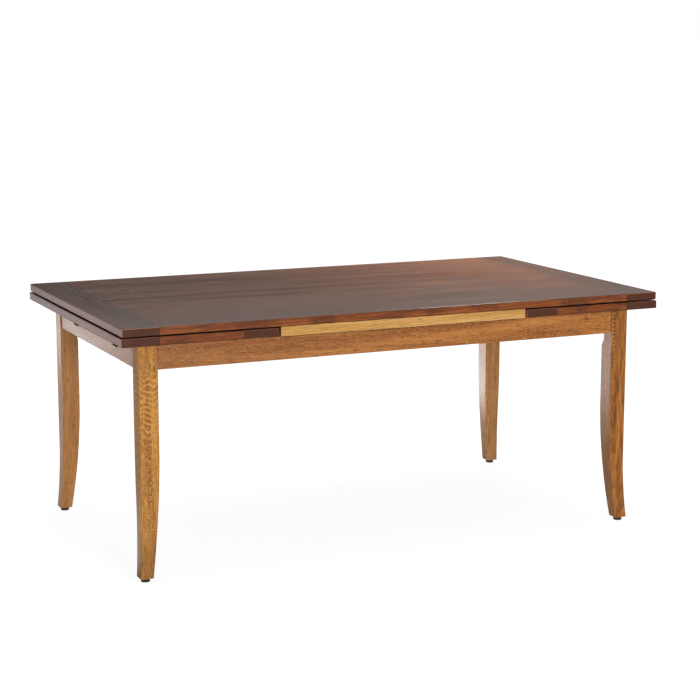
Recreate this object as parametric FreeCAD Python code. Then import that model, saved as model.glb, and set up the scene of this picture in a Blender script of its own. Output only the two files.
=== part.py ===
"""Oak draw leaf dining table. Millimetres, +Z up, origin on the floor under the middle of the top.

X runs along the table and Y across it; the front is -Y and the left end is -X.
Each leaf lies under one end of the top on two tapered runners. Drawn out, it climbs the runners'
slope until it is level with the top, which floats on two pegs and is lifted by the leaf as it climbs.
"""
import math
import os

import FreeCAD
import Part

# Overall sizes
TOP_LENGTH = 1778.0
TOP_WIDTH = 1016.0
TABLE_HEIGHT = 762.0

# Boards of the top, the leaves and the fixed centre
TOP_THICKNESS = 24.0
LEAF_THICKNESS = 25.0
BOARD_THICKNESS = 31.0
LEAF_LENGTH = 478.0
LEAF_PROUD = 3.0
LEAF_BOARD_GAP = 5.0
LEAF_TOP_GAP = 3.5
BREADBOARD_WIDTH = 110.0
EDGE_RADIUS = 2.5
TONGUE_THICKNESS = 8.0
TONGUE_LENGTH = 16.0
TONGUE_INSET = 40.0
TONGUE_END_GAP = 1.0

# Legs
END_OVERHANG = 66.0
SIDE_OVERHANG = 63.0
LEG_SQUARE = 58.0
FOOT_SQUARE = 40.0
FOOT_FLARE = 10.0
FLARE_START = 230.0
TAPER_START = 400.0
LEG_EDGE_RADIUS = 2.0
FOOT_CHAMFER = 1.5
LEG_FLAT = 13.0
LEG_FLAT_BELOW = 27.0
LEG_FLAT_RUNOUT = 23.0

# Glides under the legs
GLIDE_DIAMETER = 27.0
GLIDE_HEIGHT = 11.0
GLIDE_STEM_DIAMETER = 6.0
GLIDE_STEM_LENGTH = 20.0
GLIDE_RADIUS = 1.5

# Aprons
APRON_HEIGHT = 80.0
APRON_THICKNESS = 20.0
APRON_SETBACK = 3.0
APRON_EDGE_RADIUS = 1.5
TENON_LENGTH = 25.0
TENON_THICKNESS = 10.0
TENON_SHOULDER = 12.0
TENON_END_GAP = 1.0

# Runners under the leaves, and the rail that guides their tails
RUNNER_WIDTH = 46.0
RUNNER_END_RECESS = 10.0
RUNNER_PLAY = 0.4
RUNNER_SIDE_PLAY = 2.0
NOTCH_DEPTH = 45.0
RUNNER_BOARD_GAP = 3.0
RUNNER_SPARE = 10.0
TAIL_DEPTH = 25.0
TAIL_RAMP = 40.0
TAIL_END = 14.0
RUNNER_SIDE_GAP = 129.0
RUNNER_LANE_GAP = 14.0
GUIDE_THICKNESS = 22.0
GUIDE_HOUSING = 6.0
STOP_DIAMETER = 10.0
STOP_PROUD = 8.0
STOP_GAP = 0.3

# Screws that hold the leaves to their runners and the centre board to the aprons
SCREW_DIAMETER = 5.0
SCREW_HEAD_DIAMETER = 10.0
SCREW_HEAD_HEIGHT = 4.0
LEAF_SCREW_GRIP = 28.0
LEAF_SCREW_BITE = 14.0
LEAF_SCREW_END = 20.0
COUNTERBORE_CLEARANCE = 0.5
BOARD_SCREW_LENGTH = 60.0
BOARD_SCREW_INNER = 120.0
BOARD_SCREW_END = 59.0

# Pegs that keep the floating top in place, and the felt bumpers under its ends
PEG_DIAMETER = 25.0
PEG_CLEARANCE = 1.5
PEG_SOCKET = 14.0
PEG_SPARE = 12.0
PEG_CHAMFER = 3.0
PEG_X = 200.0
BUMPER_DIAMETER = 16.0
BUMPER_CLEARANCE = 0.3
BUMPER_EDGE = 4.5
BUMPER_SIDE = 108.0

# Corner blocks and the bolts that pull the legs into the corners
BLOCK_HEIGHT = 60.0
BLOCK_THICKNESS = 25.0
BLOCK_LEG_GAP = 6.0
BOLT_DIAMETER = 8.0
BOLT_CLEARANCE = 0.5
BOLT_BITE = 26.0
BOLT_PROUD = 14.0
WASHER_DIAMETER = 20.0
WASHER_THICKNESS = 2.0
NUT_ACROSS_FLATS = 13.0
NUT_HEIGHT = 6.5

# Levels and planes that follow from the sizes above
TOP_UNDER = TABLE_HEIGHT - TOP_THICKNESS
FRAME_TOP = TOP_UNDER - BOARD_THICKNESS
LEAF_TOP = TOP_UNDER - LEAF_TOP_GAP
LEAF_UNDER = LEAF_TOP - LEAF_THICKNESS
APRON_UNDER = FRAME_TOP - APRON_HEIGHT
TOP_END = TOP_LENGTH / 2
TOP_SIDE = TOP_WIDTH / 2
LEG_X = TOP_END - END_OVERHANG
LEG_Y = TOP_SIDE - SIDE_OVERHANG
END_FACE = LEG_X - APRON_SETBACK
SIDE_FACE = LEG_Y - APRON_SETBACK
END_INSIDE = END_FACE - APRON_THICKNESS
SIDE_INSIDE = SIDE_FACE - APRON_THICKNESS
LEAF_OUTER = TOP_END + LEAF_PROUD
LEAF_INNER = LEAF_OUTER - LEAF_LENGTH
BOARD_END = LEAF_INNER - LEAF_BOARD_GAP

# A leaf's whole climb: up by the top's thickness and the gap, out until it clears the top's end by a gap
LEAF_RISE = TOP_THICKNESS + LEAF_TOP_GAP
LEAF_TRAVEL = TOP_END - LEAF_INNER + LEAF_BOARD_GAP
SLOPE = LEAF_RISE / LEAF_TRAVEL

# Lanes of the runners: the right leaf's run outside the left leaf's
RIGHT_RUNNER_Y = SIDE_INSIDE - RUNNER_SIDE_GAP - RUNNER_WIDTH / 2
LEFT_RUNNER_Y = RIGHT_RUNNER_Y - RUNNER_WIDTH - RUNNER_LANE_GAP

# Slack past a face, so that a cutting solid never ends on the face that it cuts
PAST = 5.0

UP = FreeCAD.Vector(0, 0, 1)
ALONG = FreeCAD.Vector(1, 0, 0)
ACROSS = FreeCAD.Vector(0, 1, 0)
ORIGIN = FreeCAD.Vector(0, 0, 0)
ENDS = {"left": -1, "right": 1}
SIDES = {"front": -1, "back": 1}


def block(x, y, z):
    """A box from its (low, high) pairs."""
    low = FreeCAD.Vector(x[0], y[0], z[0])
    return Part.makeBox(x[1] - x[0], y[1] - y[0], z[1] - z[0], low)


def rod(diameter, length, start, direction=UP):
    """A round bar from start along direction."""
    return Part.makeCylinder(diameter / 2, length, start, direction)


def prism(points, y):
    """An outline of (x, z) points pushed from the low to the high y."""
    corners = [FreeCAD.Vector(px, y[0], pz) for px, pz in points]
    face = Part.Face(Part.makePolygon(corners + corners[:1]))
    return face.extrude(ACROSS * (y[1] - y[0]))


def column(plan, z):
    """A plan of (x, y) points pushed from the low to the high z."""
    corners = [FreeCAD.Vector(px, py, z[0]) for px, py in plan]
    face = Part.Face(Part.makePolygon(corners + corners[:1]))
    return face.extrude(UP * (z[1] - z[0]))


def flip_end(shape):
    """The same piece at the other end of the table."""
    return shape.mirror(ORIGIN, ALONG)


def flip_side(shape):
    """The same piece at the other side of the table."""
    return shape.mirror(ORIGIN, ACROSS)


def at_corner(shape, end, side):
    """A piece made for the right back corner, moved to the corner with these signs."""
    if end < 0:
        shape = flip_end(shape)
    if side < 0:
        shape = flip_side(shape)
    return shape


def save(name, *shapes):
    """Write one node: a single solid, or a group of separate alike solids."""
    solids = [solid for shape in shapes for solid in shape.Solids]
    node = solids[0] if len(solids) == 1 else Part.makeCompound(solids)
    node.exportStep("parts/%s.step" % name)


def eased_slab(x, z):
    """A board as wide as the table with rounded edges and corners all round."""
    slab = block(x, (-TOP_SIDE, TOP_SIDE), z)
    return slab.makeFillet(EDGE_RADIUS, slab.Edges)


def tongue_space(x, z_middle, grow):
    """The room that a stopped tongue takes, grown at its tip to make the groove."""
    reach = TOP_SIDE - TONGUE_INSET + grow
    half = TONGUE_THICKNESS / 2
    return block(x, (-reach, reach), (z_middle - half, z_middle + half))


def breadboarded(x, z):
    """A slab cut into its low end, its panel and its high end, joined by tongues and grooves."""
    slab = eased_slab(x, z)
    low_seam = x[0] + BREADBOARD_WIDTH
    high_seam = x[1] - BREADBOARD_WIDTH
    middle = (z[0] + z[1]) / 2
    wide = (-TOP_SIDE - PAST, TOP_SIDE + PAST)
    deep = (z[0] - PAST, z[1] + PAST)
    panel = slab.common(block((low_seam, high_seam), wide, deep))
    low_end = slab.common(block((x[0] - PAST, low_seam), wide, deep))
    high_end = slab.common(block((high_seam, x[1] + PAST), wide, deep))
    tongue = (low_seam - TONGUE_LENGTH, high_seam + TONGUE_LENGTH)
    groove = (tongue[0] - TONGUE_END_GAP, tongue[1] + TONGUE_END_GAP)
    panel = panel.fuse(tongue_space(tongue, middle, 0)).removeSplitter()
    cut = tongue_space(groove, middle, TONGUE_END_GAP)
    return low_end.cut(cut), panel, high_end.cut(cut)


def swept_arc(u_straight, z_straight, u_end, z_end):
    """An arc that leaves a vertical face smoothly and ends at the foot, as points (u, z)."""
    drop = z_straight - z_end
    out = u_end - u_straight
    radius = (drop * drop + out * out) / (2 * abs(out))
    half_turn = math.asin(drop / radius) / 2
    u_middle = u_straight + math.copysign(radius * (1 - math.cos(half_turn)), out)
    return (u_straight, z_straight), (u_middle, z_straight - radius * math.sin(half_turn)), (u_end, z_end)


def leg_outline(place):
    """The leg seen square on: straight above, sweeping outwards at the foot. place maps (u, z) to a point."""
    inner_foot = FOOT_FLARE - FOOT_SQUARE
    rim = GLIDE_HEIGHT + FOOT_CHAMFER
    outer = [place(*p) for p in swept_arc(0, FLARE_START, FOOT_FLARE, rim)]
    inner = [place(*p) for p in swept_arc(-LEG_SQUARE, TAPER_START, inner_foot, rim)]
    outer_sole = place(FOOT_FLARE - FOOT_CHAMFER, GLIDE_HEIGHT)
    inner_sole = place(inner_foot + FOOT_CHAMFER, GLIDE_HEIGHT)
    outer_head = place(0, FRAME_TOP)
    inner_head = place(-LEG_SQUARE, FRAME_TOP)
    edges = [
        Part.LineSegment(outer_head, outer[0]).toShape(),
        Part.Arc(*outer).toShape(),
        Part.LineSegment(outer[2], outer_sole).toShape(),
        Part.LineSegment(outer_sole, inner_sole).toShape(),
        Part.LineSegment(inner_sole, inner[2]).toShape(),
        Part.Arc(*inner).toShape(),
        Part.LineSegment(inner[0], inner_head).toShape(),
        Part.LineSegment(inner_head, outer_head).toShape(),
    ]
    return Part.Face(Part.Wire(Part.__sortEdges__(edges)))


def plain_leg():
    """The right back leg without its mortises: the same sweep in both directions, with eased corners."""
    reach = LEG_SQUARE + FOOT_FLARE + PAST
    seen_from_side = leg_outline(lambda u, z: FreeCAD.Vector(LEG_X + u, LEG_Y - reach, z))
    seen_from_end = leg_outline(lambda u, z: FreeCAD.Vector(LEG_X - reach, LEG_Y + u, z))
    leg = seen_from_side.extrude(ACROSS * 2 * reach).common(seen_from_end.extrude(ALONG * 2 * reach))
    corners = [e for e in leg.Edges if e.BoundBox.ZLength > LEG_EDGE_RADIUS]
    return leg.makeFillet(LEG_EDGE_RADIUS, corners)


def leg_flat():
    """The cut across the right back leg's inner corner: a flat for its bolt, run out below the aprons."""
    depth = LEG_FLAT / math.sqrt(2)
    head = FRAME_TOP + PAST
    stop = APRON_UNDER - LEG_FLAT_BELOW
    run_out = stop - LEG_FLAT_RUNOUT
    outline = [(depth, head), (depth, stop), (0, run_out), (-PAST, run_out), (-PAST, head)]
    cutter = prism(outline, (-LEG_FLAT, LEG_FLAT))
    cutter.rotate(ORIGIN, UP, 45)
    cutter.translate(FreeCAD.Vector(LEG_X - LEG_SQUARE, LEG_Y - LEG_SQUARE, 0))
    return cutter


def tenon_height():
    return APRON_UNDER + TENON_SHOULDER, FRAME_TOP - TENON_SHOULDER


def side_tenon(grow):
    """The tenon of a side apron in the right back leg, longer by grow for its mortise."""
    root = LEG_X - LEG_SQUARE
    middle = SIDE_FACE - APRON_THICKNESS / 2
    y = (middle - TENON_THICKNESS / 2, middle + TENON_THICKNESS / 2)
    return block((root, root + TENON_LENGTH + grow), y, tenon_height())


def end_tenon(grow):
    """The tenon of an end apron in the right back leg, longer by grow for its mortise."""
    root = LEG_Y - LEG_SQUARE
    middle = END_FACE - APRON_THICKNESS / 2
    x = (middle - TENON_THICKNESS / 2, middle + TENON_THICKNESS / 2)
    return block(x, (root, root + TENON_LENGTH + grow), tenon_height())


def foot_centre(z):
    inset = FOOT_FLARE - FOOT_SQUARE / 2
    return FreeCAD.Vector(LEG_X + inset, LEG_Y + inset, z)


def foot_glide():
    """A round glide on the floor, with the stem that is driven into the leg."""
    disc = rod(GLIDE_DIAMETER, GLIDE_HEIGHT, foot_centre(0))
    rim = [e for e in disc.Edges if e.BoundBox.ZMax < GLIDE_HEIGHT / 2]
    disc = disc.makeFillet(GLIDE_RADIUS, rim)
    stem = rod(GLIDE_STEM_DIAMETER, GLIDE_STEM_LENGTH, foot_centre(GLIDE_HEIGHT))
    return disc.fuse(stem)


def bolt_line(distance):
    """A point on the slanted bolt of the right back corner, at this distance inwards from the leg's flat."""
    step = distance / math.sqrt(2)
    corner = LEG_SQUARE - LEG_FLAT / 2 + step
    return FreeCAD.Vector(LEG_X - corner, LEG_Y - corner, APRON_UNDER + APRON_HEIGHT / 2)


BOLT_OUTWARDS = FreeCAD.Vector(1, 1, 0)
BLOCK_BACK = BLOCK_LEG_GAP + BLOCK_THICKNESS


def leg_bolt(diameter):
    """The bolt from inside the leg to the inside of the corner block."""
    length = BOLT_BITE + BLOCK_BACK + WASHER_THICKNESS + NUT_HEIGHT + BOLT_PROUD
    start = bolt_line(length - BOLT_BITE)
    return rod(diameter, length, start, BOLT_OUTWARDS)


def corner_block():
    """A block set across the corner, flat against both aprons."""
    reach = LEG_X + LEG_Y - 2 * LEG_SQUARE + LEG_FLAT
    near = reach - BLOCK_LEG_GAP * math.sqrt(2)
    far = reach - BLOCK_BACK * math.sqrt(2)
    foot = APRON_UNDER + (APRON_HEIGHT - BLOCK_HEIGHT) / 2
    plan = [(near - SIDE_INSIDE, SIDE_INSIDE), (far - SIDE_INSIDE, SIDE_INSIDE),
            (END_INSIDE, far - END_INSIDE), (END_INSIDE, near - END_INSIDE)]
    solid = column(plan, (foot, foot + BLOCK_HEIGHT))
    return solid.cut(leg_bolt(BOLT_DIAMETER + 2 * BOLT_CLEARANCE))


def bolt_washer():
    ring = rod(WASHER_DIAMETER, WASHER_THICKNESS, bolt_line(BLOCK_BACK + WASHER_THICKNESS), BOLT_OUTWARDS)
    return ring.cut(leg_bolt(BOLT_DIAMETER + BOLT_CLEARANCE))


def bolt_nut():
    radius = NUT_ACROSS_FLATS / math.sqrt(3)
    start = bolt_line(BLOCK_BACK + WASHER_THICKNESS + NUT_HEIGHT)
    turns = [math.radians(60 * k) for k in range(7)]
    ring = [FreeCAD.Vector(radius * math.cos(a), radius * math.sin(a), 0) for a in turns]
    hexagon = Part.Face(Part.makePolygon(ring)).extrude(UP * NUT_HEIGHT)
    hexagon.Placement = FreeCAD.Placement(start, FreeCAD.Rotation(UP, BOLT_OUTWARDS))
    return hexagon.cut(leg_bolt(BOLT_DIAMETER))


def runner_floor(u):
    """The sloping lower edge on which a runner climbs over the end apron; u is measured from the middle."""
    return FRAME_TOP - NOTCH_DEPTH - (END_FACE - u) * SLOPE


def tail_top(u):
    """The sloping upper edge of a runner's tail, under the centre board."""
    return FRAME_TOP - RUNNER_BOARD_GAP - (BOARD_END - u) * SLOPE


def tail_under(u):
    return tail_top(u) - TAIL_DEPTH


RUNNER_OUTER = END_FACE - RUNNER_END_RECESS
RAMP_LOW = END_INSIDE - LEAF_TRAVEL - RUNNER_SPARE
RAMP_HIGH = RAMP_LOW - TAIL_RAMP
STOP_U = -(LEAF_TRAVEL + STOP_DIAMETER / 2 + GUIDE_THICKNESS / 2 + STOP_GAP)
TAIL_TIP = STOP_U - TAIL_END
LEAF_SCREW_U = (
    LEAF_INNER + BREADBOARD_WIDTH / 2,
    (LEAF_INNER + TOP_END) / 2,
    RUNNER_OUTER - LEAF_SCREW_END,
)


def y_span(middle, width):
    return middle - width / 2, middle + width / 2


def leaf_screw(u, y):
    """A screw through a runner into the right leaf, with its head up inside the runner."""
    foot = LEAF_UNDER - LEAF_SCREW_GRIP
    head = rod(SCREW_HEAD_DIAMETER, SCREW_HEAD_HEIGHT, FreeCAD.Vector(u, y, foot))
    return head.fuse(rod(SCREW_DIAMETER, LEAF_SCREW_GRIP + LEAF_SCREW_BITE, FreeCAD.Vector(u, y, foot)))


def counterbore(u, y):
    foot = runner_floor(u) - PAST
    diameter = SCREW_HEAD_DIAMETER + 2 * COUNTERBORE_CLEARANCE
    return rod(diameter, LEAF_UNDER - LEAF_SCREW_GRIP - foot, FreeCAD.Vector(u, y, foot))


def runner_stop(y):
    """A dowel across a runner's tail that meets the guide rail when the leaf is fully drawn."""
    length = RUNNER_WIDTH + 2 * STOP_PROUD
    middle = (tail_top(STOP_U) + tail_under(STOP_U)) / 2
    return rod(STOP_DIAMETER, length, FreeCAD.Vector(STOP_U, y - length / 2, middle), ACROSS)


def runner(y):
    """A runner of the right leaf: flat under the leaf, sloping below, with a slim sloping tail."""
    outline = [
        (RUNNER_OUTER, LEAF_UNDER), (RUNNER_OUTER, runner_floor(RUNNER_OUTER)),
        (RAMP_LOW, runner_floor(RAMP_LOW)), (RAMP_HIGH, tail_under(RAMP_HIGH)),
        (TAIL_TIP, tail_under(TAIL_TIP)), (TAIL_TIP, tail_top(TAIL_TIP)),
        (LEAF_INNER, tail_top(LEAF_INNER)), (LEAF_INNER, LEAF_UNDER),
    ]
    solid = prism(outline, y_span(y, RUNNER_WIDTH)).cut(runner_stop(y))
    for u in LEAF_SCREW_U:
        solid = solid.cut(counterbore(u, y)).cut(leaf_screw(u, y))
    return solid


def runner_notch(y):
    """The room for a runner in the top edge of the right end apron."""
    inside = END_INSIDE - PAST
    outside = END_FACE + PAST
    outline = [
        (inside, runner_floor(inside) - RUNNER_PLAY), (outside, runner_floor(outside) - RUNNER_PLAY),
        (outside, FRAME_TOP + PAST), (inside, FRAME_TOP + PAST),
    ]
    return prism(outline, y_span(y, RUNNER_WIDTH + 2 * RUNNER_SIDE_PLAY))


def tail_slot(y):
    """The sloping slot in the guide rail for a tail of the right leaf's runners."""
    reach = GUIDE_THICKNESS / 2 + PAST
    outline = [
        (-reach, tail_under(-reach) - RUNNER_PLAY), (reach, tail_under(reach) - RUNNER_PLAY),
        (reach, tail_top(reach) + RUNNER_PLAY), (-reach, tail_top(-reach) + RUNNER_PLAY),
    ]
    return prism(outline, y_span(y, RUNNER_WIDTH + 2 * RUNNER_SIDE_PLAY))


def guide_rail_body():
    """The cross rail in the middle of the frame, housed in both side aprons."""
    half = GUIDE_THICKNESS / 2
    reach = SIDE_INSIDE + GUIDE_HOUSING
    return block((-half, half), (-reach, reach), (APRON_UNDER, FRAME_TOP))


def guide_rail():
    rail = guide_rail_body()
    for y in (LEFT_RUNNER_Y, -LEFT_RUNNER_Y):
        rail = rail.cut(flip_end(tail_slot(y)))
    for y in (RIGHT_RUNNER_Y, -RIGHT_RUNNER_Y):
        rail = rail.cut(tail_slot(y))
    return rail


def board_screw(x, y):
    """A countersunk screw from the centre board down into a side apron."""
    tip = FreeCAD.Vector(x, y, TOP_UNDER - BOARD_SCREW_LENGTH)
    head = FreeCAD.Vector(x, y, TOP_UNDER - SCREW_HEAD_HEIGHT)
    shank = rod(SCREW_DIAMETER, BOARD_SCREW_LENGTH - SCREW_HEAD_HEIGHT, tip)
    cone = Part.makeCone(SCREW_DIAMETER / 2, SCREW_HEAD_DIAMETER / 2, SCREW_HEAD_HEIGHT, head)
    return shank.fuse(cone)


def board_screws():
    middle = SIDE_FACE - APRON_THICKNESS / 2
    outer = BOARD_END - BOARD_SCREW_END
    spots = (-outer, -BOARD_SCREW_INNER, BOARD_SCREW_INNER, outer)
    return [board_screw(x, y) for y in (-middle, middle) for x in spots]


def eased_below(apron):
    """Round the two long lower edges of an apron."""
    low = [e for e in apron.Edges if e.BoundBox.ZMax < APRON_UNDER + APRON_EDGE_RADIUS]
    longest = max(e.Length for e in low)
    return apron.makeFillet(APRON_EDGE_RADIUS, [e for e in low if e.Length > longest / 2])


def side_apron(screws):
    """The back side apron between the legs, with its tenons and the housing for the guide rail."""
    reach = LEG_X - LEG_SQUARE
    apron = eased_below(block((-reach, reach), (SIDE_INSIDE, SIDE_FACE), (APRON_UNDER, FRAME_TOP)))
    apron = apron.fuse([side_tenon(0), flip_end(side_tenon(0))])
    apron = apron.cut(guide_rail_body())
    for screw in screws:
        apron = apron.cut(screw)
    return apron


def end_apron(runner_y):
    """The right end apron, notched for the runners of its leaf."""
    reach = LEG_Y - LEG_SQUARE
    apron = eased_below(block((END_INSIDE, END_FACE), (-reach, reach), (APRON_UNDER, FRAME_TOP)))
    apron = apron.fuse([end_tenon(0), flip_side(end_tenon(0))])
    for y in (runner_y, -runner_y):
        apron = apron.cut(runner_notch(y))
    return apron


def top_peg(x, clearance):
    """A turned peg from its socket in the top down through the centre board, or the room for it."""
    foot = FRAME_TOP - LEAF_RISE - PEG_SPARE
    length = TOP_UNDER + PEG_SOCKET - foot
    return rod(PEG_DIAMETER + 2 * clearance, length, FreeCAD.Vector(x, 0, foot))


def turned_peg(x):
    peg = top_peg(x, 0)
    tip = [e for e in peg.Edges if e.BoundBox.ZMax < FRAME_TOP - LEAF_RISE]
    return peg.makeChamfer(PEG_CHAMFER, tip)


def bumpers():
    """The felt bumpers under the right end of the top; the top rocks on them when the other leaf climbs."""
    thickness = LEAF_TOP_GAP - BUMPER_CLEARANCE
    x = TOP_END - EDGE_RADIUS - BUMPER_EDGE - BUMPER_DIAMETER / 2
    y = TOP_SIDE - BUMPER_SIDE
    spots = [FreeCAD.Vector(x, side * y, TOP_UNDER - thickness) for side in SIDES.values()]
    return [rod(BUMPER_DIAMETER, thickness, spot) for spot in spots]


def save_legs():
    leg = plain_leg().cut(leg_flat()).cut(side_tenon(TENON_END_GAP)).cut(end_tenon(TENON_END_GAP))
    glide = foot_glide()
    leg = leg.cut(glide).cut(leg_bolt(BOLT_DIAMETER))
    for side_name, side in SIDES.items():
        for end_name, end in ENDS.items():
            corner = "%s_%s" % (side_name, end_name)
            save("leg_" + corner, at_corner(leg, end, side))
            save("foot_glide_" + corner, at_corner(glide, end, side))
            save("corner_block_" + corner, at_corner(corner_block(), end, side))


def save_leg_bolts():
    corners = [(end, side) for side in SIDES.values() for end in ENDS.values()]
    for name, piece in (("leg_bolts", leg_bolt(BOLT_DIAMETER)), ("leg_bolt_washers", bolt_washer()),
                        ("leg_bolt_nuts", bolt_nut())):
        save(name, *[at_corner(piece, end, side) for end, side in corners])


def save_frame():
    screws = board_screws()
    apron = side_apron(screws)
    save("side_apron_back", apron)
    save("side_apron_front", flip_side(apron))
    save("end_apron_right", end_apron(RIGHT_RUNNER_Y))
    save("end_apron_left", flip_end(end_apron(LEFT_RUNNER_Y)))
    save("slide_guide_rail", guide_rail())
    board = eased_slab((-BOARD_END, BOARD_END), (FRAME_TOP, TOP_UNDER))
    for hole in screws + [top_peg(x, PEG_CLEARANCE) for x in (-PEG_X, PEG_X)]:
        board = board.cut(hole)
    save("centre_board", board)
    save("centre_board_screws", *screws)


def save_top():
    left_end, panel, right_end = breadboarded((-TOP_END, TOP_END), (TOP_UNDER, TABLE_HEIGHT))
    pegs = [turned_peg(x) for x in (-PEG_X, PEG_X)]
    for peg in pegs:
        panel = panel.cut(peg)
    save("top_panel", panel)
    save("top_breadboard_left", left_end)
    save("top_breadboard_right", right_end)
    save("top_pegs", *pegs)
    save("right_bumpers", *bumpers())
    save("left_bumpers", *[flip_end(pad) for pad in bumpers()])


def save_leaf(end_name, runner_y):
    """A leaf with its breadboards, runners, stops and screws, made at the right end."""
    place = flip_end if end_name == "left" else Part.Shape.copy
    inner, panel, outer = breadboarded((LEAF_INNER, LEAF_OUTER), (LEAF_UNDER, LEAF_TOP))
    lanes = (-runner_y, runner_y)
    screws = [leaf_screw(u, y) for y in lanes for u in LEAF_SCREW_U]
    boards = {"inner_breadboard": inner, "panel": panel, "outer_breadboard": outer}
    for name, board in boards.items():
        for screw in screws:
            board = board.cut(screw)
        save("%s_leaf_%s" % (end_name, name), place(board))
    for side_name, side in SIDES.items():
        save("%s_runner_%s" % (end_name, side_name), place(runner(side * runner_y)))
    save("%s_runner_stops" % end_name, *[place(runner_stop(y)) for y in lanes])
    save("%s_leaf_screws" % end_name, *[place(screw) for screw in screws])


os.makedirs("parts", exist_ok=True)
save_legs()
save_leg_bolts()
save_frame()
save_top()
save_leaf("left", LEFT_RUNNER_Y)
save_leaf("right", RIGHT_RUNNER_Y)
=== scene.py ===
# %% [markdown]
# # An oak draw leaf table
# The table is already built to size as a set of solids: a floating top, a fixed centre board, two leaves
# on sloping runners and a frame on four outswept legs. This lesson gives those solids their looks. It
# starts by loading them.

# %% Load the solids
import math
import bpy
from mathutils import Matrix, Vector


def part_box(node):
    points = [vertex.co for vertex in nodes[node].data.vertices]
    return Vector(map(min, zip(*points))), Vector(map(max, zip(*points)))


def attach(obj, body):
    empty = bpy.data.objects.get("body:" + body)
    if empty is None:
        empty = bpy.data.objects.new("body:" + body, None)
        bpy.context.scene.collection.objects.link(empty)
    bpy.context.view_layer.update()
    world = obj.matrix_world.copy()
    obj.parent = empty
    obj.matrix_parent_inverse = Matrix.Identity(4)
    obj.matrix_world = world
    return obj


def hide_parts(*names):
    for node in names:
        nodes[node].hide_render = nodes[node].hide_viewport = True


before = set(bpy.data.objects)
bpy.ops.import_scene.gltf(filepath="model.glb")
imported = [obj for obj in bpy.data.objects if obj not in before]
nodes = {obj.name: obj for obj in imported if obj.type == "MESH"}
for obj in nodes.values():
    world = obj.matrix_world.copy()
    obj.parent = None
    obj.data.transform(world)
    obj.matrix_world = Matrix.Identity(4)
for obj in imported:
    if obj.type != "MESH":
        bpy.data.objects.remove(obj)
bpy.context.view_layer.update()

from types import SimpleNamespace

import bmesh
import bpy
from mathutils import Matrix, Vector

scene = bpy.context.scene


def to_mm(point):
    """A point to the nearest millimetre, for printing."""
    return tuple(round(part, 3) for part in point)


# %% [markdown]
# ## The camera
# A long lens from far off keeps the table's edges almost parallel. Its place is given as a photographer
# would say it: where it aims, how far round to the left it stands, how high above level, and how far away.

# %% Camera
AIM = Vector((0.044, 0.0035, 0.5521))
ROUND_LEFT = math.radians(24.464)
ABOVE_LEVEL = math.radians(10.165)
DISTANCE = 5.8437
LENS_MM = 91.388
SENSOR_MM = 36.0


def make_camera():
    """A camera that looks at AIM from the front left."""
    level = math.cos(ABOVE_LEVEL)
    back = Vector((-math.sin(ROUND_LEFT) * level, -math.cos(ROUND_LEFT) * level, math.sin(ABOVE_LEVEL)))
    data = bpy.data.cameras.new("camera")
    data.lens = LENS_MM
    data.sensor_width = SENSOR_MM
    camera = bpy.data.objects.new("camera", data)
    camera.location = AIM + back * DISTANCE
    camera.rotation_euler = (-back).to_track_quat("-Z", "Y").to_euler()
    scene.collection.objects.link(camera)
    scene.camera = camera
    return camera


print("camera at", to_mm(make_camera().location))

# %% [markdown]
# ## A kit for finishes
# A finish is a small graph of nodes. Writing each node out takes many lines that differ little, so this
# class adds one node at a time and returns its output. All patterns read Object coordinates: the pieces
# sit at the origin, so a pattern is a block of wood in space that the piece is cut from.

# %% Graph
class Graph:
    """A material whose nodes are added one by one."""

    def __init__(self, name):
        self.material = bpy.data.materials.new(name)
        self.material.use_nodes = True
        self.tree = self.material.node_tree
        self.shader = self.tree.nodes["Principled BSDF"]

    def add(self, kind, **settings):
        node = self.tree.nodes.new(kind)
        for name, value in settings.items():
            setattr(node, name, value)
        return node

    def feed(self, socket, source):
        """Link a socket to an output, or set it where source is a plain value."""
        if isinstance(source, bpy.types.NodeSocket):
            self.tree.links.new(source, socket)
        else:
            socket.default_value = source

    def place(self, output="Object"):
        return self.add("ShaderNodeTexCoord").outputs[output]

    def mapped(self, vector, turn=(0, 0, 0), stretch=(1, 1, 1), shift=(0, 0, 0)):
        node = self.add("ShaderNodeMapping")
        node.inputs["Rotation"].default_value = turn
        node.inputs["Scale"].default_value = stretch
        node.inputs["Location"].default_value = shift
        self.feed(node.inputs["Vector"], vector)
        return node.outputs["Vector"]

    def split(self, vector):
        node = self.add("ShaderNodeSeparateXYZ")
        self.feed(node.inputs["Vector"], vector)
        return node.outputs

    def calc(self, kind, first, second=0.0):
        node = self.add("ShaderNodeMath", operation=kind)
        self.feed(node.inputs[0], first)
        self.feed(node.inputs[1], second)
        return node.outputs["Value"]

    def moved(self, vector, step):
        node = self.add("ShaderNodeVectorMath", operation="ADD")
        self.feed(node.inputs[0], vector)
        self.feed(node.inputs[1], step)
        return node.outputs["Vector"]


print("a graph can", [name for name in vars(Graph) if not name.startswith("_")])

# %% [markdown]
# ## Patterns and the shader
# A finish is a graph with the few patterns that wood needs, and the last steps: colours are mixed, a height
# becomes a bump, and both go into the shader. What is the same all over, such as the gloss, is set on the
# shader itself.

# %% Finish kit
COLOUR_A, COLOUR_B, COLOUR_OUT = 6, 7, 2  # a Mix node has several sockets of one name, so these go by number
WAVE_RATE = 20  # Blender's rings lie 2 pi / 20 apart at a scale of 1
RING_WANDER, RING_DETAIL, RING_DETAIL_SCALE = 5.0, 2.0, 0.35


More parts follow.
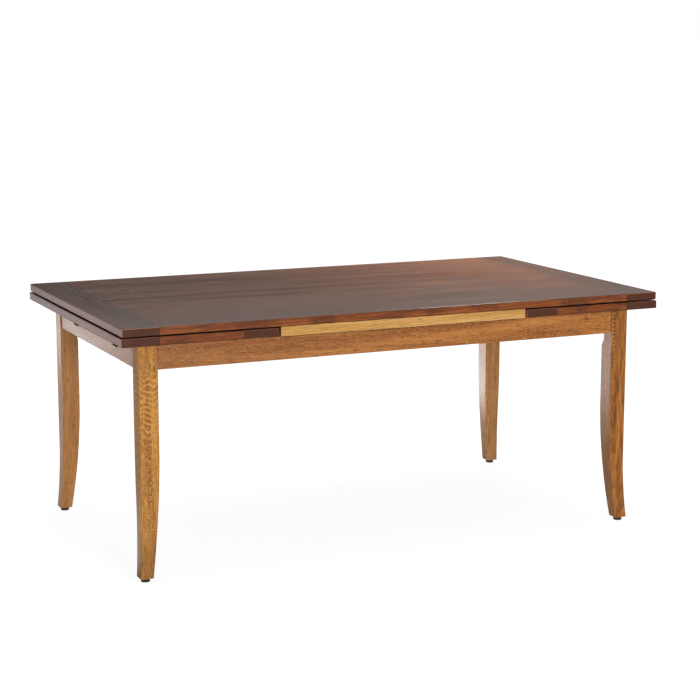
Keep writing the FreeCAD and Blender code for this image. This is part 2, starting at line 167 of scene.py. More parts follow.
class Finish(Graph):
    """A graph with patterns, mixes and the shader's own values."""

    def noise(self, vector, scale=1.0, detail=3.0, rough=0.55, warp=0.0):
        node = self.add("ShaderNodeTexNoise")
        self.feed(node.inputs["Vector"], vector)
        node.inputs["Scale"].default_value = scale
        node.inputs["Detail"].default_value = detail
        node.inputs["Roughness"].default_value = rough
        node.inputs["Distortion"].default_value = warp
        return node.outputs["Fac"]

    def rings(self, vector, spacing):
        """Growth rings about the X axis, as a saw from early to late wood."""
        node = self.add("ShaderNodeTexWave", wave_type="RINGS", rings_direction="X", wave_profile="SAW")
        self.feed(node.inputs["Vector"], vector)
        node.inputs["Scale"].default_value = 2 * math.pi / (WAVE_RATE * spacing)
        node.inputs["Distortion"].default_value = RING_WANDER
        node.inputs["Detail"].default_value = RING_DETAIL
        node.inputs["Detail Scale"].default_value = RING_DETAIL_SCALE
        return node.outputs["Fac"]

    def span(self, value, low, high, to_low=0.0, to_high=1.0):
        """Ease low..high of a value over to another span."""
        node = self.add("ShaderNodeMapRange", interpolation_type="SMOOTHSTEP")
        self.feed(node.inputs["Value"], value)
        for name, number in (("From Min", low), ("From Max", high), ("To Min", to_low), ("To Max", to_high)):
            node.inputs[name].default_value = number
        return node.outputs["Result"]

    def mix(self, share, first, second):
        node = self.add("ShaderNodeMix", data_type="RGBA")
        self.feed(node.inputs["Factor"], share)
        self.feed(node.inputs[COLOUR_A], first)
        self.feed(node.inputs[COLOUR_B], second)
        return node.outputs[COLOUR_OUT]

    def bump(self, height, strength, depth):
        node = self.add("ShaderNodeBump")
        node.inputs["Strength"].default_value = strength
        node.inputs["Distance"].default_value = depth
        self.feed(node.inputs["Height"], height)
        self.feed(self.shader.inputs["Normal"], node.outputs["Normal"])

    def dress(self, colour, roughness, gloss):
        """Give the shader its colour and roughness. Its gloss is always a plain number."""
        self.feed(self.shader.inputs["Base Color"], colour)
        self.feed(self.shader.inputs["Roughness"], roughness)
        self.shader.inputs["Specular IOR Level"].default_value = gloss


def rgb(red, green, blue):
    return red, green, blue, 1


def wear(finish, *names):
    """Put a finish on CAD nodes through their material slots."""
    for name in names:
        for slot in nodes[name].material_slots:
            slot.material = finish.material


print("a finish can", [name for name in vars(Finish) if not name.startswith("_")])

# %% [markdown]
# ## The floor
# White studio paper, so bright that only a breath of shadow shows under the table. A paper that is lit far
# beyond white would also eat into the table's outline, pixel by pixel, so it is only just white: most of its
# light is a glow of its own, and the lamps add the little that a shadow can take away. A disc that reaches
# far past the picture looks the same from every side.

# %% Floor
FLOOR_RADIUS = 400.0
FLOOR_SIDES = 96
PAPER_TONE, PAPER_ROUGHNESS, PAPER_GLOSS = 0.16, 0.9, 0.1
GLOW_NEAR, GLOW_FAR = 0.9, 1.0
NEAR, FAR = 1.6, 4.5


def link(name, shape):
    """Turn a finished bmesh into an object at the origin."""
    mesh = bpy.data.meshes.new(name)
    shape.to_mesh(mesh)
    shape.free()
    piece = bpy.data.objects.new(name, mesh)
    scene.collection.objects.link(piece)
    return piece


def white_paper():
    """Paper that glows a little less near the table than far from it."""
    paper = Finish("white_paper")
    away = paper.add("ShaderNodeVectorMath", operation="LENGTH")
    paper.feed(away.inputs[0], paper.place())
    glow = paper.span(away.outputs["Value"], NEAR, FAR, GLOW_NEAR, GLOW_FAR)
    paper.dress(rgb(PAPER_TONE, PAPER_TONE, PAPER_TONE), PAPER_ROUGHNESS, PAPER_GLOSS)
    paper.feed(paper.shader.inputs["Emission Color"], rgb(1, 1, 1))
    paper.feed(paper.shader.inputs["Emission Strength"], glow)
    return paper


disc = bmesh.new()
bmesh.ops.create_circle(disc, cap_ends=True, radius=FLOOR_RADIUS, segments=FLOOR_SIDES)
floor = link("floor", disc)
floor.data.materials.append(white_paper().material)
print("floor radius", FLOOR_RADIUS)

# %% [markdown]
# ## The light
# Light on lacquered wood is half reflection, so each light is placed by what is mirrored in the wood. Seen
# from the front left, every face that looks left mirrors the floor, so two low panels lie on it behind the
# table and a small one beside its left end. They turn those faces pale, and a weak panel on the left lightens
# the gap under the top's end. The front panel is broad and low, so that it reaches the back legs under the
# top and shows the colour of the stain. A weak card behind the table is mirrored along the front of the top,
# and a small lamp above warms its right end.

# %% Panels
PANELS = {  # where it stands, where it looks, its two sides in metres and its power in watts
    "front_panel": ((-0.6, -8.0, 1.5), (0, 0, 0.5), (2.4, 2.4), 680),
    "overhead_panel": ((0.3, 0.2, 4.2), (0, 0, 0.7), (3.0, 3.0), 80),
    "low_panel_right": ((-0.15, 1.8, 0.02), (-0.15, 1.8, 1), (1.4, 1.4), 95),
    "low_panel_left": ((-1.5, 4.0, 0.02), (-1.5, 4.0, 1), (1.0, 1.9), 28),
    "low_panel_near": ((-1.0, -0.05, 0.015), (-1.0, -0.05, 1), (0.4, 0.6), 2),
    "left_panel": ((-4.5, -0.5, 1.6), (-0.9, 0, 0.6), (2.0, 2.0), 26),
    "back_card": ((1.65, 3.0, 1.85), (1.65, 0, 1.85), (4.5, 1.0), 5.5),
    "top_lamp": ((0.8, 0.42, 1.45), (0.8, 0.42, 0.76), (0.5, 0.5), 22),
}


def soft_panel(name, place, aim, size, power):
    """An area light that faces a point. It lights and is mirrored, but the camera doesn't see it."""
    data = bpy.data.lights.new(name, "AREA")
    data.shape = "RECTANGLE"
    data.size, data.size_y = size
    data.energy = power
    panel = bpy.data.objects.new(name, data)
    panel.location = place
    panel.rotation_euler = (Vector(aim) - Vector(place)).to_track_quat("-Z", "Y").to_euler()
    panel.visible_camera = False
    scene.collection.objects.link(panel)


for name, setting in PANELS.items():
    soft_panel(name, *setting)
print("panels", list(PANELS))

# %% [markdown]
# ## The walls
# The world stands for the studio's walls and ceiling: a ramp over how high a direction points. It is white
# at the horizon. The walls above are dim, because the top mirrors them at a slant and would go white
# otherwise. The Standard view keeps the stain's colours as they are.

# %% Walls
HORIZON_WHITE, LOW_WALL, HIGH_WALL, CEILING_WHITE = 1.0, 0.05, 0.15, 0.75
WALL_STOPS = [(0.0, HORIZON_WHITE), (0.06, HORIZON_WHITE), (0.085, LOW_WALL), (0.2, LOW_WALL),
              (0.4, HIGH_WALL), (1.0, CEILING_WHITE)]


def studio_world():
    world = bpy.data.worlds.new("studio")
    world.use_nodes = True
    tree = world.node_tree
    place = tree.nodes.new("ShaderNodeTexCoord")
    split = tree.nodes.new("ShaderNodeSeparateXYZ")
    ramp = tree.nodes.new("ShaderNodeValToRGB")
    tree.links.new(place.outputs["Generated"], split.inputs["Vector"])
    tree.links.new(split.outputs["Z"], ramp.inputs["Fac"])
    tree.links.new(ramp.outputs["Color"], tree.nodes["Background"].inputs["Color"])
    stops = ramp.color_ramp.elements
    while len(stops) < len(WALL_STOPS):
        stops.new(0.5)  # each stop gets its own height below
    for stop, (height, tone) in zip(stops, WALL_STOPS):
        stop.position = height
        stop.color = rgb(tone, tone, tone)
    return world


scene.world = studio_world()
scene.view_settings.view_transform = "Standard"
print("wall stops", WALL_STOPS)

# %% [markdown]
# ## Oak
# A board is cut from a log, and its figure is where its faces meet the growth rings. So the rings are made
# in space round a pith that lies beside the board and leans a little: a face along the rings then shows
# arches, an edge shows lines, and an end shows curves. Over them lie long streaks, fine lines and the short
# dark pores, each a noise that is stretched along the grain. A wide board is glued from staves, and each
# stave takes its wood from another part of the log.

# %% Grain and staves
TURN_TO_GRAIN = {
    "x": (0, 0, 0),
    "y": (0, 0, math.radians(90)),
    "z": (0, math.radians(90), 0),
}
PORE_SIZE, PORE_SPAN, PORE_SHARE = (32, 400, 400), (0.56, 0.68), 0.55
FINE_SIZE, FINE_SPAN, FINE_SHARE = (7, 260, 260), (0.35, 0.75), 0.4
STREAK_SIZE, STREAK_SPAN, STREAK_WARP = (1.6, 30, 30), (0.3, 0.7), 0.6
PATCH_SIZE, PATCH_SPAN = (18, 60, 30), (0.45, 0.62)
RING_SPAN = (0.35, 1.0)
STAVE_ALONG, STAVE_DEEPER, STAVE_SHARE = 7.0, 0.4, 0.35


def staves(finish, along, width):
    """Glued boards side by side: each moves the grain along by its own step, and has its own tone."""
    across = finish.split(along)["Y"]
    number = finish.calc("FLOOR", finish.calc("DIVIDE", across, width))
    draw = finish.add("ShaderNodeTexWhiteNoise", noise_dimensions="1D")
    finish.feed(draw.inputs["W"], number)
    tone = draw.outputs["Value"]
    step = finish.add("ShaderNodeCombineXYZ")
    finish.feed(step.inputs["X"], finish.calc("MULTIPLY", tone, STAVE_ALONG))
    finish.feed(step.inputs["Z"], finish.calc("MULTIPLY", tone, STAVE_DEEPER))
    return finish.moved(along, step.outputs["Vector"]), tone


print("grain directions", sorted(TURN_TO_GRAIN), "pores", PORE_SIZE, "streaks", STREAK_SIZE)

# %% [markdown]
# ## Rays, arches and chevrons
# Oak that is sawn towards the heart also shows its rays, as bright wavy lines like the contours of a hilly
# map, and a noise cut into even steps by a sine gives just that. On one leg the rays cross a face in nested
# arches, and on another the rings run out at an edge in chevrons. Both are lines one above the other along
# the grain that bend away from a middle line: by the square of the distance for an arch, and evenly for a
# chevron.

# %% Rays, arches and chevrons
RAY_SPAN, RAY_ROUGH = (0.2, 1.0), 0.4
WAVER_SIZE = (11, 30, 30)
ARCH_SPAN, ARCH_WANDER, ARCH_FADE, ARCH_SHARE = (0.3, 1.0), 0.07, 0.04, 0.8
FEATHER_SPAN, FEATHER_WANDER, FEATHER_SHARE = (-0.1, 0.6), 0.02, 0.85
FEATHER_SLOPE, FEATHER_FAINT = 0.9, 0.25


def ray_flake(finish, along, size, lines):
    """The rays' wavy lines: 1 on a line and 0 between."""
    hills = finish.noise(finish.mapped(along, stretch=size), detail=1, rough=RAY_ROUGH)
    return finish.span(finish.calc("SINE", finish.calc("MULTIPLY", hills, lines)), *RAY_SPAN)


def nested(finish, along, aside, spacing, wander):
    """A wave along the grain that is held back by aside and wavers a little."""
    hills = finish.noise(finish.mapped(along, stretch=WAVER_SIZE), detail=1)
    waver = finish.calc("MULTIPLY", hills, wander)
    climb = finish.calc("SUBTRACT", finish.calc("ADD", finish.split(along)["X"], waver), aside)
    return finish.calc("SINE", finish.calc("MULTIPLY", climb, 2 * math.pi / spacing))


def arches(finish, along, middle, spacing, bow, low, high):
    """Rays that cross a face in nested arches, between two heights."""
    parts = finish.split(along)
    across = finish.calc("SUBTRACT", parts["Z"], middle)
    aside = finish.calc("MULTIPLY", finish.calc("MULTIPLY", across, across), bow)
    lines = finish.span(nested(finish, along, aside, spacing, ARCH_WANDER), *ARCH_SPAN)
    above = finish.span(parts["X"], low - ARCH_FADE, low)
    below = finish.span(parts["X"], high, high + ARCH_FADE, 1.0, 0.0)
    return finish.calc("MULTIPLY", lines, finish.calc("MULTIPLY", above, below))


def feather(finish, along, middle, reach, spacing, low, high):
    """Chevrons one above the other, as where the rings run out at an edge, strongest above high."""
    parts = finish.split(along)
    across = finish.calc("ABSOLUTE", finish.calc("SUBTRACT", parts["Z"], middle))
    aside = finish.calc("MULTIPLY", across, FEATHER_SLOPE)
    marks = finish.span(nested(finish, along, aside, spacing, FEATHER_WANDER), *FEATHER_SPAN)
    near = finish.span(across, reach / 2, reach, 1.0, 0.0)
    strength = finish.span(parts["X"], low, high, FEATHER_FAINT, 1.0)
    return finish.calc("MULTIPLY", finish.calc("MULTIPLY", marks, near), strength)


print("shares of arches and chevrons", ARCH_SHARE, FEATHER_SHARE)

# %% [markdown]
# ## The look of a board
# Boards differ in many small ways, and most keep to the usual for most of them. So one list holds the plain
# look, and each board only says what it changes. The wood itself is then a pile of mixes: one tone of the
# stain over another, each by the share that a part of the figure gives.

# %% Plain look
PLAIN_LOOK = dict(
    pith=(0.0, -0.08), lean=2.0,        # the log's heart across the grain, and its lean in degrees
    spacing=0.007, ring=0.45,           # how far apart the rings lie, and how dark they are
    flake=0.0,                          # how bright the rays are
    flake_size=(60, 110, 110),          # how fine their hills are, along and across the grain
    flake_lines=75.0,                   # how many lines a hill has
    arch=None,                          # middle line, spacing, bow, lowest and highest arch
    chevrons=None,                      # middle line, reach, spacing, and the heights between which they grow
    patch=0.0, patch_size=PATCH_SIZE,   # how dark the patches are, and how fine
    stave=None,                         # how wide the glued staves are
    # faces that look down take a dark tone that is painted shade
    end=None, upper=None, under=None,   # tones of the faces that look along the grain, up and down
    # the rounded edges' tone: stain rubbed thin and a painted highlight
    worn=None,                          # tone of the rounded edges
    # faces towards the table's ends: a lighter tone that is painted light, and a matter lacquer
    edge=None,                          # tone and roughness of the faces towards the table's ends
    fade=None,                          # a stretch along the grain, and the dark tone's share at its two ends
    joint=None,                         # how far along the grain, either way, the joints lie
    roughness=(0.3, 0.42), relief=0.25)

print("a look is told by", len(PLAIN_LOOK), "values")


# %% Wood
def wood(finish, along, tones, look):
    """Figured wood in dark, middle and light tones: its colour, and the streaks, fine lines and pores."""
    dark, middle, light = tones
    if look.stave:
        along, stave_tone = staves(finish, along, look.stave)
    streaks = finish.noise(finish.mapped(along, stretch=STREAK_SIZE), detail=4, warp=STREAK_WARP)
    fine = finish.noise(finish.mapped(along, stretch=FINE_SIZE))
    pores = finish.span(finish.noise(finish.mapped(along, stretch=PORE_SIZE), detail=1), *PORE_SPAN)
    lean = math.radians(look.lean)
    heart = finish.mapped(along, turn=(0, lean, lean), shift=(0, -look.pith[0], -look.pith[1]))
    late = finish.span(finish.rings(heart, look.spacing), *RING_SPAN)
    colour = finish.mix(finish.span(streaks, *STREAK_SPAN), middle, light)
    colour = finish.mix(finish.calc("MULTIPLY", late, look.ring), colour, dark)
    colour = finish.mix(finish.span(fine, *FINE_SPAN, 0.0, FINE_SHARE), colour, dark)
    if look.patch:
        patches = finish.noise(finish.mapped(along, stretch=look.patch_size))
        colour = finish.mix(finish.span(patches, *PATCH_SPAN, 0.0, look.patch), colour, dark)
    if look.flake:
        lines = ray_flake(finish, along, look.flake_size, look.flake_lines)
        colour = finish.mix(finish.calc("MULTIPLY", lines, look.flake), colour, light)
    if look.arch:
        lines = arches(finish, along, *look.arch)
        colour = finish.mix(finish.calc("MULTIPLY", lines, ARCH_SHARE), colour, light)
    if look.chevrons:
        marks = feather(finish, along, *look.chevrons)
        colour = finish.mix(finish.calc("MULTIPLY", marks, FEATHER_SHARE), colour, dark)
    colour = finish.mix(finish.calc("MULTIPLY", pores, PORE_SHARE), colour, dark)
    if look.stave:
        colour = finish.mix(finish.span(stave_tone, 0.0, 1.0, 0.0, STAVE_SHARE), colour, dark)
    return colour, streaks, fine, pores


print("shares of the dark tone: fine lines", FINE_SHARE, "pores", PORE_SHARE, "staves", STAVE_SHARE)

# %% [markdown]
# ## Stain and lacquer
# Dark stain sits deepest in the pores and late wood, so the figure only mixes three tones of one stain. It
# is rubbed thin on rounded edges, where a lighter tone is also a painted highlight, it darkens cut ends, and
# it gathers in the joints, where the dark line is also painted shade. Faces towards the table's ends take a
# lighter tone that is painted light, and some boards are painted darker towards one end as shade. The
# lacquer is satin: its gloss is one number on the shader, and the grain only varies its roughness.
# Undersides are not lacquered, so they are matt, and their dark tone is painted shade, so the rounded lower
# edges read as thin dark lines. Which way a face looks is read from its normal.

# %% Stain
ACROSS_SPAN, SIDE_SPAN = (0.6, 0.95), (0.3, 0.9)
UP_SPAN, DOWN_SPAN = (0.5, 0.9), (-0.5, -0.05)
ROUND_SPAN = (0.8, 0.97)
END_SHARE, LIT_SIDE_SHARE, UPPER_SHARE, WORN_HIGHLIGHT_SHARE = 0.7, 0.8, 0.55, 0.6
# the undersides' dark tone is painted shade
UNDERSIDE_SHADE = rgb(0.012, 0.005, 0.003)
# the joint line's dark tone: stain that gathers there and painted shade in the gap
JOINT_STAIN_AND_SHADE, JOINT_SHARE, JOINT_LINE = rgb(0.02, 0.007, 0.004), 0.8, 0.003


def rounded(finish, facing):
    """1 on a rounded edge and 0 on a flat face, where one part of the normal is close to 1."""
    x, y, z = (finish.calc("ABSOLUTE", facing[axis]) for axis in "XYZ")
    return finish.span(finish.calc("MAXIMUM", finish.calc("MAXIMUM", x, y), z), *ROUND_SPAN, 1.0, 0.0)


def stain(finish, colour, matt, along, grain, dark, look):
    """Tone the wood by which way its faces look and how far along they lie."""
    facing = finish.split(finish.place("Normal"))
    if look.end:
        lengthways = finish.split(finish.mapped(finish.place("Normal"), TURN_TO_GRAIN[grain]))["X"]
        cut = finish.span(finish.calc("ABSOLUTE", lengthways), *ACROSS_SPAN, 0.0, END_SHARE)
        colour = finish.mix(cut, colour, look.end)
    # faces towards the table's ends: painted light in a lighter, redder tone, and a higher roughness
    if look.edge:
        tone, roughness = look.edge
        sideways = finish.calc("ABSOLUTE", facing["X"])
        matt = finish.calc("MAXIMUM", matt, finish.span(sideways, *SIDE_SPAN, 0.0, roughness))
        colour = finish.mix(finish.span(sideways, *ACROSS_SPAN, 0.0, LIT_SIDE_SHARE), colour, tone)
    # darker towards one end: painted shade on breadboards and side aprons; the front left leg darkens towards
    # its foot
    if look.fade:
        colour = finish.mix(finish.span(finish.split(along)["X"], *look.fade), colour, dark)
    if look.upper:
        colour = finish.mix(finish.span(facing["Z"], *UP_SPAN, 0.0, UPPER_SHARE), colour, look.upper)
    # rounded edges: stain rubbed thin, with a lighter tone that is a painted highlight
    if look.worn:
        colour = finish.mix(finish.calc("MULTIPLY", rounded(finish, facing), WORN_HIGHLIGHT_SHARE), colour, look.worn)
    # faces that look down: painted shade in the colour, and matt because they are not lacquered
    if look.under:
        below = finish.span(facing["Z"], *DOWN_SPAN, 1.0, 0.0)
        colour = finish.mix(below, colour, look.under)
        matt = finish.calc("MAXIMUM", matt, below)
    # a dark line at the joints: stain and painted shade
    if look.joint:
        reach = finish.calc("ABSOLUTE", finish.split(along)["X"])
        line = finish.span(reach, look.joint - JOINT_LINE, look.joint, 0.0, JOINT_SHARE)
        colour = finish.mix(line, colour, JOINT_STAIN_AND_SHADE)
    return colour, matt


print("joint lines", JOINT_LINE, "worn share", WORN_HIGHLIGHT_SHARE)

# %% Stained oak
LACQUER_GLOSS = 0.15
FINE_HEIGHT, PORE_DEPTH = 0.4, 0.0003


def oak(name, grain, tones, **changes):
    """Stained and lacquered oak: the plain look with some changes, in dark, middle and light tones."""
    look = SimpleNamespace(**{**PLAIN_LOOK, **changes})
    finish = Finish(name)
    along = finish.mapped(finish.place(), TURN_TO_GRAIN[grain])
    colour, streaks, fine, pores = wood(finish, along, tones, look)
    matt = finish.span(streaks, *STREAK_SPAN, *look.roughness)
    colour, matt = stain(finish, colour, matt, along, grain, tones[0], look)
    finish.dress(colour, matt, LACQUER_GLOSS)
    height = finish.calc("SUBTRACT", finish.calc("MULTIPLY", fine, FINE_HEIGHT), pores)
    finish.bump(height, look.relief, PORE_DEPTH)
    return finish


print("gloss", LACQUER_GLOSS, "pores", PORE_DEPTH, "deep")

# %% [markdown]
# ## Top, leaves and centre board
# The top and the leaves are stained dark, with breadboards darker still, and the breadboards are painted
# darker towards the back as shade. Their faces that look up take a darker, greyer tone than their long
# edges. The lacquer fills the grain here, so there is hardly any relief. The centre board is left in its
# golden colour.

# %% Top, leaves and centre board
TOP_TONES = (rgb(0.045, 0.012, 0.005), rgb(0.145, 0.035, 0.006), rgb(0.235, 0.067, 0.012))
TOP_FACE, BREADBOARD_FACE = rgb(0.07, 0.037, 0.023), rgb(0.08, 0.042, 0.026)
# the undersides of the top and leaves take the painted shade
FILLED = dict(under=UNDERSIDE_SHADE, roughness=(0.14, 0.2), relief=0.005)
BREADBOARD_TONES = (rgb(0.018, 0.005, 0.003), rgb(0.043, 0.013, 0.006), rgb(0.066, 0.021, 0.01))
BREADBOARD_END = rgb(0.045, 0.013, 0.006)
# the breadboards' faces towards the ends: painted light, with a matter lacquer
BREADBOARD_LIT_SIDES = (rgb(0.17, 0.066, 0.048), 0.42)
# the breadboards darker towards the back: painted shade
BREADBOARD_BACK_SHADE = (-0.5, 0.4, 0.6, 0.0)
# tones of the rounded edges: rubbed stain and a painted highlight along the arris
WORN_HIGHLIGHT_TONES = {"breadboard_oak": rgb(0.34, 0.13, 0.05), "leaf_end_oak": rgb(0.28, 0.095, 0.055)}
BOARD_TONES = (rgb(0.145, 0.058, 0.012), rgb(0.335, 0.172, 0.042), rgb(0.43, 0.255, 0.084))
BOARD_END = rgb(0.05, 0.02, 0.006)

top_oak = oak("top_oak", "x", TOP_TONES, pith=(0.0, 0.3), spacing=0.011, ring=0.4, patch=0.6,
              patch_size=(9, 60, 30), stave=0.1, upper=TOP_FACE,
              # the top's joint with its breadboard takes the dark line of stain and painted shade
              joint=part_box("top_breadboard_right")[0].x, **FILLED)
breadboard_oak, leaf_end_oak = (
    oak(name, "y", BREADBOARD_TONES, pith=(0.6, 0.3), ring=0.3, end=BREADBOARD_END, upper=BREADBOARD_FACE,
        worn=worn, edge=BREADBOARD_LIT_SIDES, fade=BREADBOARD_BACK_SHADE, **FILLED)
    for name, worn in WORN_HIGHLIGHT_TONES.items())
board_oak = oak("board_oak", "x", BOARD_TONES, pith=(-0.4, 0.6), spacing=0.006, ring=0.4, flake=0.3,
                end=BOARD_END, under=UNDERSIDE_SHADE)
wear(top_oak, "top_panel", "left_leaf_panel", "right_leaf_panel")
wear(breadboard_oak, "top_breadboard_left", "top_breadboard_right")
wear(leaf_end_oak, *[f"{end}_leaf_{part}_breadboard" for end in ("left", "right")
                     for part in ("outer", "inner")])
wear(board_oak, "centre_board")
print("top finishes", [f.material.name for f in (top_oak, breadboard_oak, leaf_end_oak, board_oak)])

# %% [markdown]
# ## Frame
# The aprons are sawn towards the heart, so they are full of small flakes, with a dark line of stain and
# painted shade where they meet the legs; the side aprons are also painted darker towards the left, as shade.
# Each leg comes from its own piece of wood: the front left one is golden, with large
# flakes and a stretch of arched rays, and it darkens towards the foot. The front right one is browner, with
# dark patches and a feather of chevrons down its edge. The back legs show small flakes.

# %% Aprons
APRON_TONES = (rgb(0.056, 0.014, 0.003), rgb(0.163, 0.05, 0.009), rgb(0.365, 0.148, 0.035))
APRON_LOOK = dict(pith=(0.1, -1.5), spacing=0.005, ring=0.35, flake_size=(22, 85, 85))
# the side aprons darker towards the left: painted shade
SIDE_APRON_LEFT_SHADE = (-1.0, 1.0, 0.28, 0.0)

inner_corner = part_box("leg_back_right")[0]
side_oak = oak("side_apron_oak", "x", APRON_TONES, flake=0.7, joint=inner_corner.x, fade=SIDE_APRON_LEFT_SHADE,
               **APRON_LOOK)
end_oak = oak("end_apron_oak", "y", APRON_TONES, flake=0.6, joint=inner_corner.y, **APRON_LOOK)
wear(side_oak, "side_apron_front", "side_apron_back")
wear(end_oak, "end_apron_left", "end_apron_right")
print("aprons meet the legs at", round(inner_corner.x, 3), round(inner_corner.y, 3))

# %% Legs
LEG_LEAN = 1.2
LEG_LOOKS = {  # pith, arch and chevrons are told from the leg's own middle
    "leg_front_left": dict(
        tones=(rgb(0.06, 0.016, 0.003), rgb(0.15, 0.043, 0.006), rgb(0.385, 0.185, 0.034)),
        pith=(0.0, 0.07), spacing=0.006, ring=0.45, flake=0.6, flake_size=(22, 44, 44), flake_lines=60,
        arch=(-0.003, 0.017, 22, 0.45, 0.6), roughness=(0.5, 0.65), fade=(0.05, 0.22, 0.5, 0.0)),
    "leg_front_right": dict(
        tones=(rgb(0.06, 0.016, 0.004), rgb(0.19, 0.062, 0.009), rgb(0.31, 0.122, 0.022)),
        pith=(0.07, 0.01), spacing=0.008, ring=0.5, flake=0.2, patch=0.6, patch_size=(14, 400, 110),
        chevrons=(0.024, 0.009, 0.013, 0.45, 0.66)),
    "leg_back_left": dict(
        tones=(rgb(0.08, 0.026, 0.006), rgb(0.195, 0.08, 0.019), rgb(0.312, 0.144, 0.043)),
        pith=(0.02, 0.07), spacing=0.008, ring=0.3, flake=0.5, flake_size=(70, 140, 140)),
    "leg_back_right": dict(
        tones=(rgb(0.07, 0.024, 0.006), rgb(0.195, 0.08, 0.021), rgb(0.31, 0.15, 0.05)),
        pith=(0.0, -0.07), spacing=0.009, ring=0.35, flake=0.5, flake_size=(30, 60, 60)),
}

for name, look in LEG_LOOKS.items():
    low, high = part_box(name)
    middle = (low + high) / 2
    behind, beside = look["pith"]
    placed = dict(look, pith=(middle.y + behind, beside - middle.x))
    for figure in ("arch", "chevrons"):
        if figure in look:
            aside, *rest = look[figure]
            placed[figure] = (aside - middle.x, *rest)
    wear(oak(name + "_oak", "z", lean=LEG_LEAN, **placed), name)
print("legs", list(LEG_LOOKS))

# %% [markdown]
# ## Hidden pieces
# What slides is left plain and pale, since stain would rub off. The glides are moulded, the bumpers are
# felt, and the fasteners are plated steel: three finishes with a fine even grain, so one function makes them.

# %% Slides
RUNNER_TONES = (rgb(0.2, 0.12, 0.06), rgb(0.36, 0.25, 0.14), rgb(0.46, 0.34, 0.2))

runner_oak = {grain: oak("runner_wood_" + grain, grain, RUNNER_TONES, pith=(0.3, -0.9), ring=0.3,
                         roughness=(0.5, 0.65)) for grain in TURN_TO_GRAIN}
wear(runner_oak["x"], *[name for name in nodes if "_runner_front" in name or "_runner_back" in name
                        or name.startswith("corner_block")])
wear(runner_oak["y"], "slide_guide_rail", "left_runner_stops", "right_runner_stops")
wear(runner_oak["z"], "top_pegs")
print("slide finishes", [finish.material.name for finish in runner_oak.values()])

# %% Glides, felt and steel
SPECK_SPAN, SPECK_RELIEF = (0.3, 0.7), 0.4


def grainy(name, dark, light, size, roughness, depth, metallic=0.0, sheen=0.0, gloss=0.5):
    """A finish with a fine even grain: moulded plastic, pressed felt or plated steel."""
    finish = Finish(name)
    speck = finish.noise(finish.place(), scale=size)
    finish.dress(finish.mix(speck, dark, light), finish.span(speck, *SPECK_SPAN, *roughness), gloss)
    finish.shader.inputs["Metallic"].default_value = metallic
    finish.shader.inputs["Sheen Weight"].default_value = sheen
    finish.bump(speck, SPECK_RELIEF, depth)
    return finish


glide = grainy("moulded_glide", rgb(0.012, 0.006, 0.004), rgb(0.035, 0.02, 0.013), size=900,
               roughness=(0.45, 0.6), depth=0.0001, gloss=0.1)
felt = grainy("brown_felt", rgb(0.05, 0.028, 0.018), rgb(0.15, 0.09, 0.06), size=1400,
              roughness=(0.9, 1.0), depth=0.0006, sheen=0.6)
steel = grainy("plated_steel", rgb(0.42, 0.42, 0.43), rgb(0.6, 0.6, 0.6), size=500,
               roughness=(0.3, 0.45), depth=0.00005, metallic=1.0)
wear(glide, *[name for name in nodes if name.startswith("foot_glide")])
wear(felt, "left_bumpers", "right_bumpers")
wear(steel, *[name for name in nodes if "bolt" in name or "screws" in name])
print("finishes", len(bpy.data.materials))

# %% [markdown]
# ## Bolts, nuts and washers
# In each corner a bolt comes slantwise out of the leg and through a block, and a nut on a washer draws the
# leg tight. The solids hold plain rods in their places. A turned piece is quickest made on a lathe, and spin
# is one: it turns a line of points about an axis. A zigzag in that line gives the thread. One corner is made
# and then mirrored to the other three, and mirrored shapes need their normals put right.

# %% Lathe
ROUND_SIDES = 24
SAME_PLACE = 1e-7


def turned(profile, ring=False):
    """Spin (radius, height) points about the Z axis. A ring's profile is closed."""
    shape = bmesh.new()
    points = [shape.verts.new((radius, 0, height)) for radius, height in profile]
    lines = [shape.edges.new(pair) for pair in zip(points, points[1:] + points[:1] if ring else points[1:])]
    bmesh.ops.spin(shape, geom=points + lines, cent=(0, 0, 0), axis=(0, 0, 1), angle=2 * math.pi,
                   steps=ROUND_SIDES, use_merge=True)
    bmesh.ops.remove_doubles(shape, verts=shape.verts, dist=SAME_PLACE)
    return shape


def thread(radius, depth, pitch, low, high):
    """The zigzag of a thread between two heights."""
    turns = int((high - low) / pitch)
    step = (high - low) / turns
    return [(radius - depth * (k % 2 == 0), low + step * k / 2) for k in range(2 * turns + 1)]


print("sides of a turned piece", ROUND_SIDES)

# %% [markdown]
# ## Into the corners
# Each piece is made standing on its foot at the origin. A matrix lays it along the bolt's line in the back
# right corner, at its own distance from the leg's flat, and a diagonal matrix of plus and minus ones mirrors
# it to the others. The place of that line is read from the solids.

# %% Corners
BOLT_RADIUS, BOLT_LENGTH, BOLT_BITE = 0.004, 0.0795, 0.026

rods_low, rods_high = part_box("leg_bolts")
outwards = Vector((1, 1, 0)).normalized()
rod_end = Vector((rods_high.x, rods_high.y, (rods_low.z + rods_high.z) / 2)) - outwards * BOLT_RADIUS


def in_corners(inwards):
    """Where a piece stands in the four corners, when its foot lies this far inwards from the leg's flat."""
    foot = Matrix.Translation(rod_end - outwards * (BOLT_BITE + inwards))
    turn = Vector((0, 0, 1)).rotation_difference(outwards).to_matrix().to_4x4()
    return [Matrix.Diagonal((end, side, 1, 1)) @ foot @ turn for end in (-1, 1) for side in (-1, 1)]


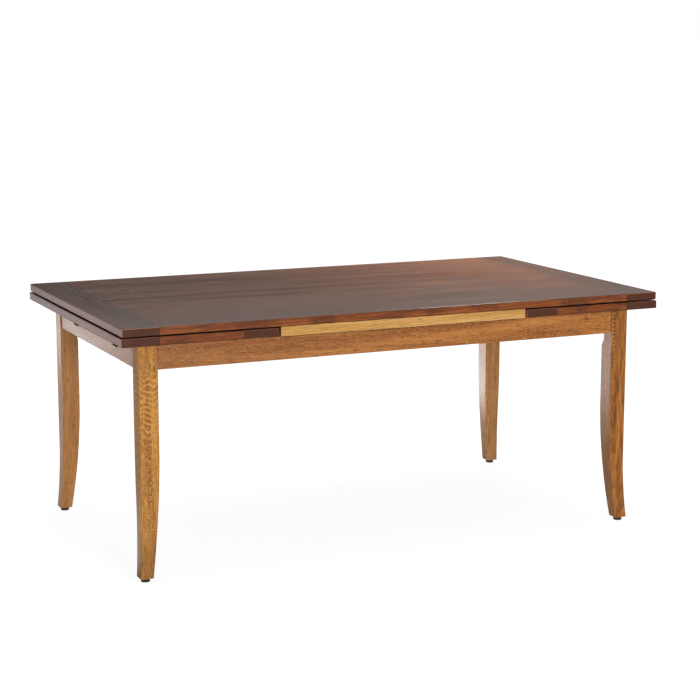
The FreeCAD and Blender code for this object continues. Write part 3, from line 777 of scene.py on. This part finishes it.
def finished(name, shape, places, node, body):
    """Set copies of a shape at places, and let them stand for a node's plain rods."""
    source = bpy.data.meshes.new(name)
    shape.to_mesh(source)
    shape.free()
    whole = bmesh.new()
    for place in places:
        known = set(whole.verts)
        whole.from_mesh(source)
        bmesh.ops.transform(whole, matrix=place, verts=[v for v in whole.verts if v not in known])
    bmesh.ops.recalc_face_normals(whole, faces=whole.faces)
    bpy.data.meshes.remove(source)
    piece = link(name, whole)
    piece.data.materials.append(steel.material)
    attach(piece, body)
    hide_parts(node)
    print(name, "faces", len(piece.data.polygons), "for", node)


print("bolts end at", to_mm(rod_end))

# %% Bolts
BOLT_PITCH, BOLT_THREAD, THREAD_DEPTH = 0.00125, 0.04, 0.0006

tip = BOLT_RADIUS - 2 * THREAD_DEPTH
bolt = turned([(0, 0), (tip, 0)] + thread(BOLT_RADIUS, THREAD_DEPTH, BOLT_PITCH, THREAD_DEPTH, BOLT_THREAD)
              + [(BOLT_RADIUS, BOLT_THREAD + BOLT_PITCH), (BOLT_RADIUS, BOLT_LENGTH), (0, BOLT_LENGTH)])
finished("threaded_leg_bolts", bolt, in_corners(BOLT_LENGTH - BOLT_BITE), "leg_bolts", "base")

# %% Washers
WASHER_RADIUS, WASHER_BORE, WASHER_THICKNESS, WASHER_EDGE = 0.01, 0.00425, 0.002, 0.0004
BLOCK_BACK = 0.031

washer = turned([(WASHER_BORE, 0), (WASHER_RADIUS - WASHER_EDGE, 0), (WASHER_RADIUS, WASHER_EDGE),
                 (WASHER_RADIUS, WASHER_THICKNESS - WASHER_EDGE),
                 (WASHER_RADIUS - WASHER_EDGE, WASHER_THICKNESS), (WASHER_BORE, WASHER_THICKNESS)], ring=True)
washer_foot = BLOCK_BACK + WASHER_THICKNESS
finished("turned_leg_washers", washer, in_corners(washer_foot), "leg_bolt_washers", "base")

# %% [markdown]
# ## Nuts
# A nut isn't round, so the lathe can't make it. It starts as two loops, a hexagon and the bolt's circle. The
# hexagon's sides are cut until it has as many points as the circle, so that the two can be bridged. The flat
# face between them is extruded to the nut's height, and its two outer rims are bevelled.

# %% Nuts
NUT_ACROSS, NUT_HEIGHT, NUT_CHAMFER = 0.013, 0.0065, 0.0007
HEX_SIDES = 6
SHARP_ANGLE = 1.0


def hexagon(shape, across):
    """A six-sided loop with as many points as a round one."""
    made = bmesh.ops.create_circle(shape, segments=HEX_SIDES, radius=across / math.sqrt(3),
                                   matrix=Matrix.Rotation(math.pi / HEX_SIDES, 4, "Z"))
    sides = {edge for point in made["verts"] for edge in point.link_edges}
    bmesh.ops.subdivide_edges(shape, edges=list(sides), cuts=ROUND_SIDES // HEX_SIDES - 1)


def outer_rim(edge):
    """Whether an edge is sharp, level and outside the bore."""
    first, second = edge.verts
    level = first.co.z == second.co.z
    outside = min(first.co.xy.length, second.co.xy.length) > BOLT_RADIUS + NUT_CHAMFER
    return edge.calc_face_angle(0) > SHARP_ANGLE and level and outside


nut = bmesh.new()
hexagon(nut, NUT_ACROSS)
bmesh.ops.create_circle(nut, segments=ROUND_SIDES, radius=BOLT_RADIUS)
bmesh.ops.bridge_loops(nut, edges=nut.edges)
grown = bmesh.ops.extrude_face_region(nut, geom=nut.faces)["geom"]
raised = [part for part in grown if isinstance(part, bmesh.types.BMVert)]
bmesh.ops.translate(nut, vec=(0, 0, NUT_HEIGHT), verts=raised)
bmesh.ops.recalc_face_normals(nut, faces=nut.faces)
rims = [edge for edge in nut.edges if outer_rim(edge)]
bmesh.ops.bevel(nut, geom=rims, offset=NUT_CHAMFER, affect="EDGES", segments=1, profile=0.5, material=-1)
finished("chamfered_leg_nuts", nut, in_corners(washer_foot + NUT_HEIGHT), "leg_bolt_nuts", "base")

# %% [markdown]
